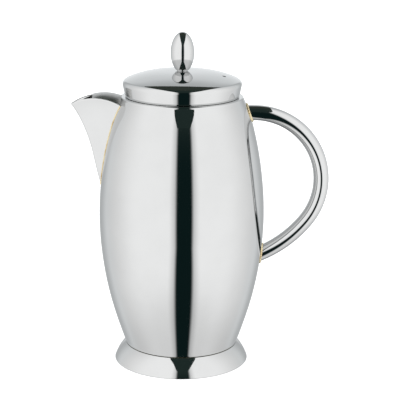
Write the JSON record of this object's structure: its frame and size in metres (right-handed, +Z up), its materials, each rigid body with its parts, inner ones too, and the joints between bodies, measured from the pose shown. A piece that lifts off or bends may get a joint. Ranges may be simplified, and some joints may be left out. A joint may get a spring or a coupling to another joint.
{
  "type": "coffee pot",
  "caption": "Tall polished steel coffee pot with a barrel body, flared foot, beak spout, round tube handle and a lift-off domed lid with an egg knob.",
  "frame": {"origin": "on the body's axis, in the plane that the foot stands on", "axes": "+Z up, +X from the axis towards the handle, so the spout points to -X; +Y completes the right-handed frame"},
  "size_m": [0.1713, 0.11, 0.2237],
  "materials": {
    "polished_steel": "mirror-polished stainless steel",
    "satin_steel": "satin stainless steel inside and underneath",
    "weld_bead": "polished weld with straw-coloured heat tint",
    "screw_steel": "plain machined stainless steel"
  },
  "bodies": {
    "pot": {"body_shell": "polished_steel", "mouth_collar": "satin_steel", "base_disc": "satin_steel", "foot_skirt": "polished_steel", "foot_weld_ring": "satin_steel", "spout_shell": "polished_steel", "spout_roof": "polished_steel", "spout_weld_bead": "weld_bead", "handle_tube": "polished_steel", "handle_upper_weld": "weld_bead", "handle_lower_weld": "weld_bead"},
    "lid": {"lid_cap": "polished_steel", "lid_plug_ring": "satin_steel", "knob_egg": "polished_steel", "knob_neck_ring": "polished_steel", "knob_washer": "screw_steel", "knob_screw": "screw_steel"}
  },
  "joints": [
    {"name": "lid_lift", "type": "slide", "parent": "pot", "child": "lid", "axis": [0, 0, 1], "range_m": [0, 0.06]}
  ]
}
